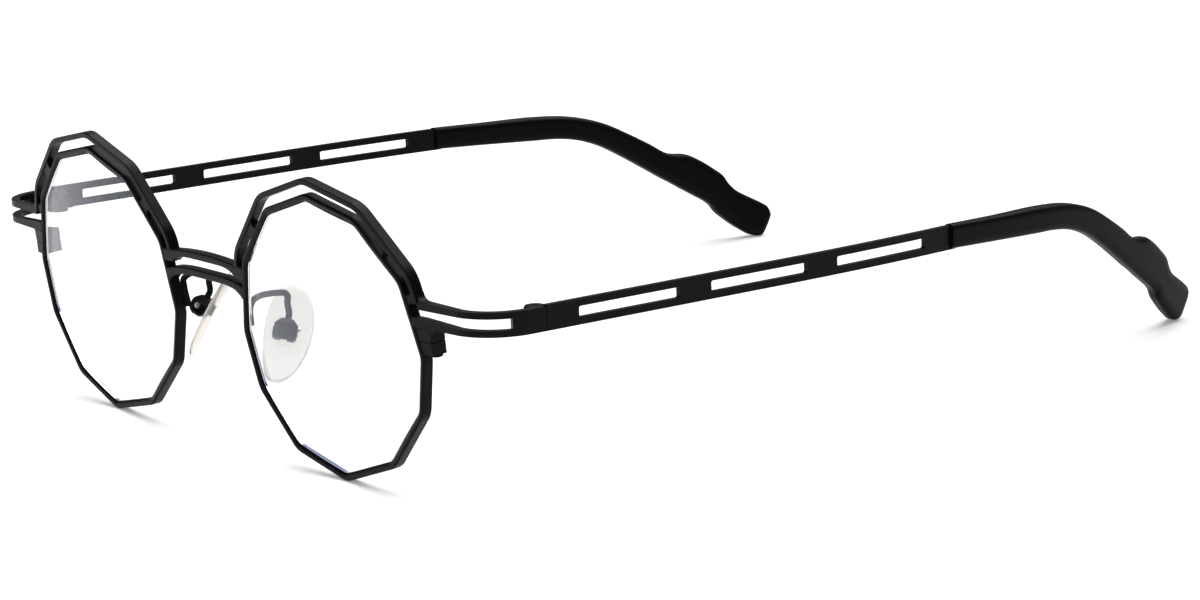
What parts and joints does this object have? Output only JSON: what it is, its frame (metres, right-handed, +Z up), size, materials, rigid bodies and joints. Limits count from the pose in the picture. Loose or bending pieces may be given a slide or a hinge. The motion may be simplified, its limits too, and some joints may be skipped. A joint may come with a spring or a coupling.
{
  "type": "geometric eyeglasses",
  "caption": "Black wire eyeglasses with faceted near-round rims, open brow bars, a slotted bridge, slotted folding temples, moulded tips and clear screw-on nose pads.",
  "frame": {"origin": "middle of the width and depth, on the table that the rims and temple tips stand on", "axes": "+X towards the wearer's left, +Y from the lenses back along the temples, +Z up"},
  "size_m": [0.1458, 0.1554, 0.0464],
  "materials": {
    "painted_frame": "satin",
    "tip_acetate": "satin",
    "lens_plastic": "clear, polished",
    "clear_silicone": "clear, satin",
    "bare_steel": "bright"
  },
  "bodies": {
    "front": {"rim_left": "painted_frame", "rim_right": "painted_frame", "brow_bar_left": "painted_frame", "brow_bar_right": "painted_frame", "bridge_upper": "painted_frame", "bridge_lower": "painted_frame", "endpiece_left": "painted_frame", "endpiece_right": "painted_frame", "lens_left": "lens_plastic", "lens_right": "lens_plastic", "rim_lock_upper_left": "painted_frame", "rim_lock_upper_right": "painted_frame", "rim_lock_lower_left": "painted_frame", "rim_lock_lower_right": "painted_frame", "rim_lock_screw_left": "painted_frame", "rim_lock_screw_right": "painted_frame", "pad_arm_left": "painted_frame", "pad_arm_right": "painted_frame", "pad_screw_left": "bare_steel", "pad_screw_right": "bare_steel", "hinge_front_leaf_left": "painted_frame", "hinge_front_leaf_right": "painted_frame", "hinge_screw_left": "painted_frame", "hinge_screw_right": "painted_frame"},
    "temple_arm_left": {"temple_left": "painted_frame", "temple_tip_left": "tip_acetate", "hinge_temple_leaf_left": "painted_frame"},
    "pad_left": {"nose_pad_left": "clear_silicone", "pad_tab_left": "bare_steel"},
    "temple_arm_right": {"temple_right": "painted_frame", "temple_tip_right": "tip_acetate", "hinge_temple_leaf_right": "painted_frame"},
    "pad_right": {"nose_pad_right": "clear_silicone", "pad_tab_right": "bare_steel"}
  },
  "joints": [
    {"name": "temple_fold_left", "type": "hinge", "parent": "front", "child": "temple_arm_left", "pos_m": [0.0699, -0.06332, 0.02842], "axis": [0, 0.0249, 0.9997], "range_deg": [0, 88]},
    {"name": "temple_fold_right", "type": "hinge", "parent": "front", "child": "temple_arm_right", "pos_m": [-0.0699, -0.06332, 0.02842], "axis": [0, -0.0249, -0.9997], "range_deg": [0, 84]},
    {"name": "pad_rock_left", "type": "hinge", "parent": "front", "child": "pad_left", "pos_m": [0.0129, -0.07006, 0.01931], "axis": [0.574, 0.7753, -0.2635], "range_deg": [-4, 4]},
    {"name": "pad_rock_right", "type": "hinge", "parent": "front", "child": "pad_right", "pos_m": [-0.0129, -0.07006, 0.01931], "axis": [0.574, -0.7753, 0.2635], "range_deg": [-4, 4]}
  ]
}
